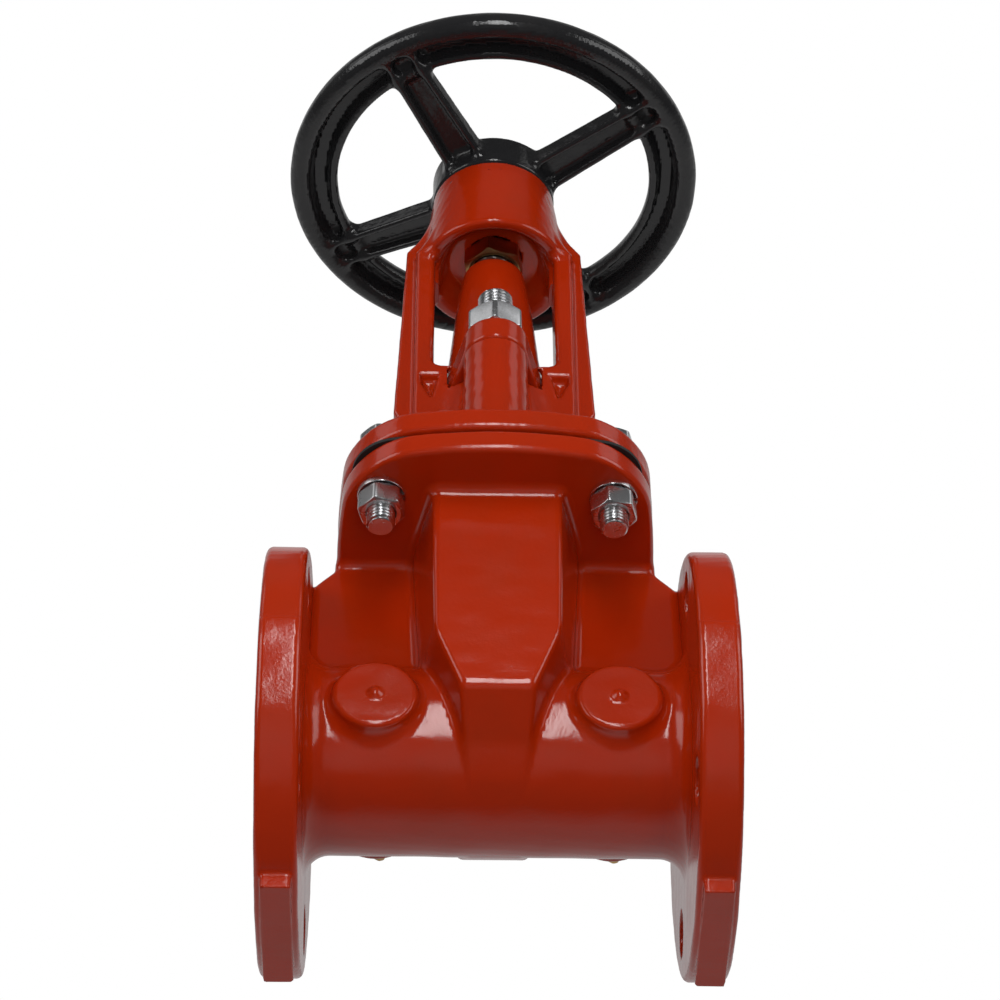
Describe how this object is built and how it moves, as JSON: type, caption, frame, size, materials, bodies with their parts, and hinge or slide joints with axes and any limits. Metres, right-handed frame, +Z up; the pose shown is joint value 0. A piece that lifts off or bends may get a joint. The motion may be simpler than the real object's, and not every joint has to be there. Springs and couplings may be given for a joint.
{
  "type": "outside screw and yoke gate valve",
  "caption": "Flanged gate valve with a rising stem in an outside yoke, a spoked handwheel, a bolted bonnet and a two-bolt gland, standing on foot pads.",
  "frame": {"origin": "on the floor under the stem axis, midway between the end flange faces, level with the foot pads", "axes": "+X along the bore from left to right flange, +Z up along the stem, -Y is the front"},
  "size_m": [0.1992, 0.1992, 0.476],
  "materials": {
    "red_epoxy": "glossy fusion bonded epoxy over a cast surface",
    "black_enamel": "glossy black enamel over a cast surface",
    "zinc": "bright zinc plating",
    "brass": "machined brass, dull",
    "stem_steel": "turned stainless steel",
    "wedge_rubber": "black moulded rubber over an iron core",
    "gasket_rubber": "black rubber sheet"
  },
  "bodies": {
    "valve": {"valve_body": "red_epoxy", "bonnet_gasket": "gasket_rubber", "bonnet_yoke": "red_epoxy", "gland_follower": "red_epoxy", "bonnet_bolt_front_left": "zinc", "bonnet_bolt_front_right": "zinc", "bonnet_bolt_rear_left": "zinc", "bonnet_bolt_rear_right": "zinc", "lock_washer_front_left": "zinc", "lock_washer_front_right": "zinc", "lock_washer_rear_left": "zinc", "lock_washer_rear_right": "zinc", "bonnet_nut_front_left": "zinc", "bonnet_nut_front_right": "zinc", "bonnet_nut_rear_left": "zinc", "bonnet_nut_rear_right": "zinc", "gland_bolt_front": "zinc", "gland_bolt_rear": "zinc", "gland_nut_front": "zinc", "gland_nut_rear": "zinc", "boss_plug_left": "brass", "boss_plug_right": "brass"},
    "handwheel": {"handwheel": "black_enamel", "wheel_nut": "zinc", "yoke_nut": "brass"},
    "stem": {"stem": "stem_steel", "wedge": "wedge_rubber"}
  },
  "joints": [
    {"name": "wheel_turn", "type": "hinge", "parent": "valve", "child": "handwheel", "pos_m": [0, 0, 0.45], "axis": [0, 0, 1], "range_deg": [0, 4896]},
    {"name": "stem_rise", "type": "slide", "parent": "valve", "child": "stem", "axis": [0, 0, 1], "range_m": [0, 0.068]}
  ],
  "couplings": [
    {"joint": "stem_rise", "follows": "wheel_turn", "m_per_rad": 0.00079577}
  ]
}
